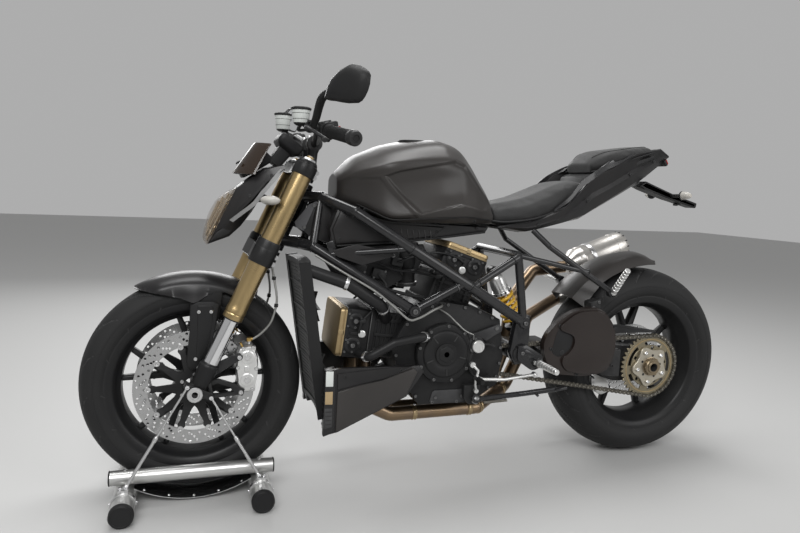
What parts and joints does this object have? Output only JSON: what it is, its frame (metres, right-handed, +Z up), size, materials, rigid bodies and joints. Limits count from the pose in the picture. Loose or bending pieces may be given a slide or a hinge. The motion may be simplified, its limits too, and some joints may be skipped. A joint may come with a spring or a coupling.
{
  "type": "standard motorcycle",
  "caption": "Naked roadster motorcycle with trellis frame, V-twin engine and single-sided swingarm, its front wheel held in a low tubular display stand.",
  "frame": {"origin": "on the floor under the middle of the machine's box", "axes": "+X to the front of the machine, +Y to its left side, +Z up"},
  "size_m": [2.099, 0.9734, 1.1516],
  "materials": {
    "black_metal": "satin black",
    "black_plastic": "matt",
    "bright_steel": "polished",
    "brushed_steel": "brushed satin",
    "cast_grey_metal": "cast, matt",
    "chain_steel": "oiled",
    "chrome": "polished",
    "clear_lamp_plastic": "clear",
    "clear_white_plastic": "translucent",
    "disc_steel": "ground",
    "gloss_black_frame": "gloss black",
    "gold_anodised": "anodised gold-bronze",
    "grip_rubber": "matt",
    "header_steel": "heat tinted",
    "hose_rubber": "satin",
    "lamp_glass": "bronze tinted",
    "machined_aluminium": "machined",
    "radiator_black": "matt black mesh",
    "red_lamp_plastic": "gloss",
    "satin_black_paint": "satin black",
    "seat_leather": "matt black",
    "smoked_screen": "smoked",
    "stainless_tray": "polished",
    "tank_paint": "satin dark grey",
    "tyre": "matt",
    "yellow_spring_paint": "gloss yellow"
  },
  "bodies": {
    "front_end": {"stand_tubes": "brushed_steel", "stand_end_caps": "black_plastic", "stand_tray": "stainless_tray", "stand_rods": "brushed_steel", "front_axle": "bright_steel", "fork_sliders": "chrome", "fork_bottoms": "black_metal", "fork_outer_tubes": "gold_anodised", "lower_yoke": "black_metal", "upper_yoke": "black_metal", "handlebar": "black_metal", "hand_grips": "grip_rubber", "hand_controls": "black_metal", "fluid_reservoirs": "clear_white_plastic", "mirrors": "black_plastic", "headlight_shell": "satin_black_paint", "headlight_lens": "lamp_glass", "flyscreen": "smoked_screen", "instrument": "black_plastic", "front_fender": "satin_black_paint", "front_calipers": "machined_aluminium", "front_signals": "clear_lamp_plastic", "brake_hoses": "hose_rubber"},
    "front_wheel": {"front_tyre": "tyre", "front_rim": "black_metal", "front_discs": "disc_steel", "disc_carriers": "black_metal"},
    "rear_wheel": {"rear_tyre": "tyre", "rear_rim": "black_metal", "rear_disc": "disc_steel", "rear_sprocket": "gold_anodised", "rear_spindle": "machined_aluminium"},
    "chassis": {"trellis_frame": "gloss_black_frame", "engine": "cast_grey_metal", "cam_covers": "gold_anodised", "radiator": "radiator_black", "side_pods": "satin_black_paint", "fuel_tank": "tank_paint", "airbox": "black_plastic", "seats": "seat_leather", "tail_cowl": "satin_black_paint", "tail_lamp": "red_lamp_plastic", "plate_hanger": "black_plastic", "swingarm": "cast_grey_metal", "shock_body": "black_metal", "shock_spring": "yellow_spring_paint", "silencers": "brushed_steel", "exhaust_headers": "header_steel", "drive_chain": "chain_steel", "foot_hangers": "black_metal", "footrests": "machined_aluminium", "rear_hugger": "satin_black_paint", "rear_caliper": "black_metal", "water_hoses": "hose_rubber"},
    "side_stand": {"side_stand": "black_metal"},
    "fuel_cap": {"fuel_cap": "machined_aluminium"}
  },
  "joints": [
    {"name": "steering", "type": "hinge", "parent": "front_end", "child": "chassis", "pos_m": [0.5453, 0, 0.6891], "axis": [-0.4147, 0, 0.91], "range_deg": [-27, 27]},
    {"name": "front_wheel_spin", "type": "hinge", "parent": "front_end", "child": "front_wheel", "pos_m": [0.7495, 0, 0.315], "axis": [0, 1, 0], "continuous": true},
    {"name": "rear_wheel_spin", "type": "hinge", "parent": "chassis", "child": "rear_wheel", "pos_m": [-0.7255, 0, 0.324], "axis": [0, 1, 0], "continuous": true},
    {"name": "side_stand_fold", "type": "hinge", "parent": "chassis", "child": "side_stand", "pos_m": [-0.062, 0.158, 0.262], "axis": [-0.1605, -0.8726, -0.4614], "range_deg": [0, 85]},
    {"name": "fuel_cap_hinge", "type": "hinge", "parent": "chassis", "child": "fuel_cap", "pos_m": [0.168, 0, 1.031], "axis": [0, 1, 0], "range_deg": [0, 100]}
  ]
}
